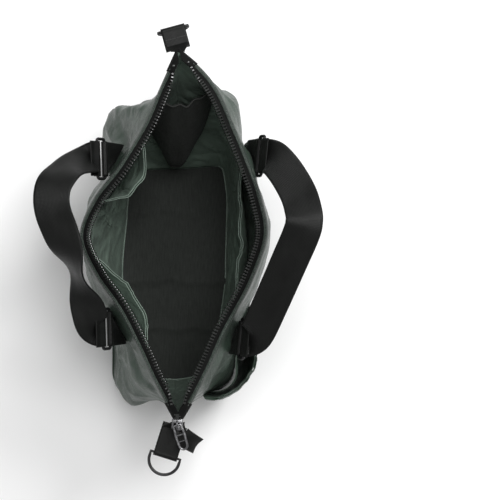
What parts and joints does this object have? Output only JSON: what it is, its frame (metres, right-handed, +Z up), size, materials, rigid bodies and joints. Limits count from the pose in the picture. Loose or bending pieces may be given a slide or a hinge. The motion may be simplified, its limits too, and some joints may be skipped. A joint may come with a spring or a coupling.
{
  "type": "changing bag",
  "caption": "Soft zip-top changing bag standing open, with an inner base, pockets inside and out, a chunky zip, two webbing handles on rings and a D-ring tab at each end",
  "frame": {"origin": "centre of the base's underside, on the floor", "axes": "+Z up; +Y along the bag's length, towards the end with the bottle pouch; +X towards the face with the front pocket"},
  "size_m": [0.3475, 0.5691, 0.4057],
  "materials": {
    "shell_nylon": "coated nylon, soft sheen",
    "lining_nylon": "thin coated nylon",
    "black_cloth": "matt woven cloth",
    "webbing": "ribbed nylon webbing, satin",
    "zip_tape": "ribbed zip tape",
    "moulded_black": "moulded, semi-gloss",
    "black_metal": "black lacquer",
    "gunmetal": "dark nickel, polished",
    "base_board": "stiffener board"
  },
  "bodies": {
    "bag": {"back_panel": "shell_nylon", "base_board": "base_board", "base_panel": "black_cloth", "bottle_pouch": "black_cloth", "end_seam_lower": "shell_nylon", "end_seam_upper": "shell_nylon", "end_tab_lower": "webbing", "end_tab_upper": "webbing", "front_panel": "shell_nylon", "front_pocket": "shell_nylon", "front_pocket_rim": "shell_nylon", "front_pocket_snap": "gunmetal", "handle_anchor_back_lower": "webbing", "handle_anchor_back_upper": "webbing", "handle_anchor_front_lower": "webbing", "handle_anchor_front_upper": "webbing", "lining_back": "lining_nylon", "lining_base": "black_cloth", "lining_front": "lining_nylon", "side_pocket": "lining_nylon", "side_pocket_hem": "lining_nylon", "slip_pocket_lower": "lining_nylon", "slip_pocket_lower_hem": "lining_nylon", "slip_pocket_upper": "lining_nylon", "slip_pocket_upper_hem": "lining_nylon", "zip_chain_end": "moulded_black", "zip_facing_back": "shell_nylon", "zip_facing_front": "shell_nylon", "zip_stop_back": "moulded_black", "zip_stop_front": "moulded_black", "zip_tail_tab": "webbing", "zip_tape_back": "zip_tape", "zip_tape_front": "zip_tape", "zip_teeth_back": "moulded_black", "zip_teeth_front": "moulded_black"},
    "slider": {"zip_slider": "gunmetal", "zip_bridge": "gunmetal"},
    "pull": {"zip_pull": "gunmetal"},
    "d_ring_upper": {"d_ring_upper": "black_metal"},
    "d_ring_lower": {"d_ring_lower": "black_metal"},
    "handle_back": {"handle_back": "webbing", "handle_ring_back_lower": "black_metal", "handle_ring_back_upper": "black_metal"},
    "handle_front": {"handle_front": "webbing", "handle_ring_front_lower": "black_metal", "handle_ring_front_upper": "black_metal"}
  },
  "joints": [
    {"name": "zip_slide", "type": "slide", "parent": "bag", "child": "slider", "axis": [0, 1, 0], "range_m": [-0.004, 0.004]},
    {"name": "pull_hinge", "type": "hinge", "parent": "slider", "child": "pull", "pos_m": [0.02, -0.1842, 0.3208], "axis": [0.9539, 0.3, 0], "range_deg": [-150, 0]},
    {"name": "d_ring_lower_hinge", "type": "hinge", "parent": "bag", "child": "d_ring_lower", "pos_m": [0.004, -0.22566, 0.291], "axis": [0.9539, -0.3, 0], "range_deg": [-90, 80]},
    {"name": "d_ring_upper_hinge", "type": "hinge", "parent": "bag", "child": "d_ring_upper", "pos_m": [0.01324, 0.30911, 0.291], "axis": [-0.9656, -0.2599, 0], "range_deg": [-90, 20]},
    {"name": "handle_back_hinge", "type": "hinge", "parent": "bag", "child": "handle_back", "pos_m": [-0.07035, 0.03984, 0.28], "axis": [-0.0308, 0.9995, 0], "range_deg": [-25, 30]},
    {"name": "handle_front_hinge", "type": "hinge", "parent": "bag", "child": "handle_front", "pos_m": [0.10909, 0.03571, 0.28], "axis": [0.0983, 0.9952, 0], "range_deg": [-20, 35]}
  ]
}
